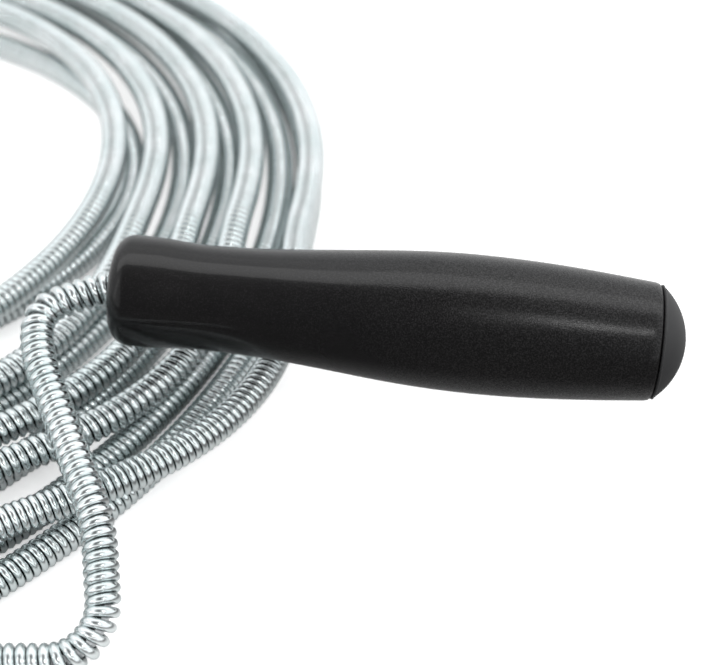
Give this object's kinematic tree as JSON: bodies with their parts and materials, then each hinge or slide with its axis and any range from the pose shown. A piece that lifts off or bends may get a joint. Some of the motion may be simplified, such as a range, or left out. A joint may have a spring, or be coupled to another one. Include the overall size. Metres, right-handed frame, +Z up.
{
  "type": "drain auger",
  "caption": "Spring-coil drain cleaning cable laid up as a hank, with a cranked end, a spinning black plastic grip with a domed cap, and a bulb-shaped boring head.",
  "frame": {"origin": "on the floor, in the middle of the hank's central opening", "axes": "+Z up from the floor; +X from the hank towards the crank, roughly along the grip to its cap; -Y towards the side where the crank's leg lies"},
  "size_m": [0.5207, 0.423, 0.0531],
  "materials": {
    "zinc_coil": "bright zinc plating on round spring wire, with a faint green-grey tint in the shadows",
    "rod_steel": "drawn steel rod, lightly oiled",
    "washer_steel": "zinc-plated turned steel",
    "insert_nylon": "nylon locking ring",
    "bush_nylon": "natural nylon",
    "tie_nylon": "natural nylon cable tie",
    "grip_black": "semi-gloss black moulded plastic with a fine grain",
    "cap_grey": "matt dark grey plastic"
  },
  "bodies": {
    "root": {"cable_hank": "zinc_coil", "hank_ties": "tie_nylon"},
    "lead": {"lead_cable": "zinc_coil"},
    "crank": {"crank_coil": "zinc_coil", "crank_rod": "rod_steel", "rod_anchor": "rod_steel", "thrust_washer": "washer_steel", "axle_tube": "washer_steel", "retaining_washer": "washer_steel", "spring_washer": "rod_steel", "lock_nut": "washer_steel", "nut_insert": "insert_nylon"},
    "grip": {"grip_shell": "grip_black", "end_cap": "cap_grey", "front_bush": "bush_nylon", "rear_bush": "bush_nylon"},
    "head": {"head_cable": "zinc_coil", "boring_head": "zinc_coil"}
  },
  "joints": [
    {"name": "lead_lift", "type": "hinge", "parent": "root", "child": "lead", "pos_m": [0.064, -0.2105, 0.0136], "axis": [0, -1, 0], "range_deg": [0, 20], "deforming": ["lead_cable"]},
    {"name": "crank_turn", "type": "hinge", "parent": "lead", "child": "crank", "pos_m": [0.1554, -0.1955, 0.0046], "axis": [1, 0, 0], "range_deg": [0, 150]},
    {"name": "grip_spin", "type": "hinge", "parent": "crank", "child": "grip", "pos_m": [0.14937, -0.0976, 0.0385], "axis": [0.9939, -0.1001, -0.0454], "continuous": true},
    {"name": "head_flex", "type": "hinge", "parent": "root", "child": "head", "pos_m": [-0.1895, 0.044, 0.007], "axis": [0, 0, 1], "range_deg": [0, 30], "deforming": ["head_cable"]}
  ]
}
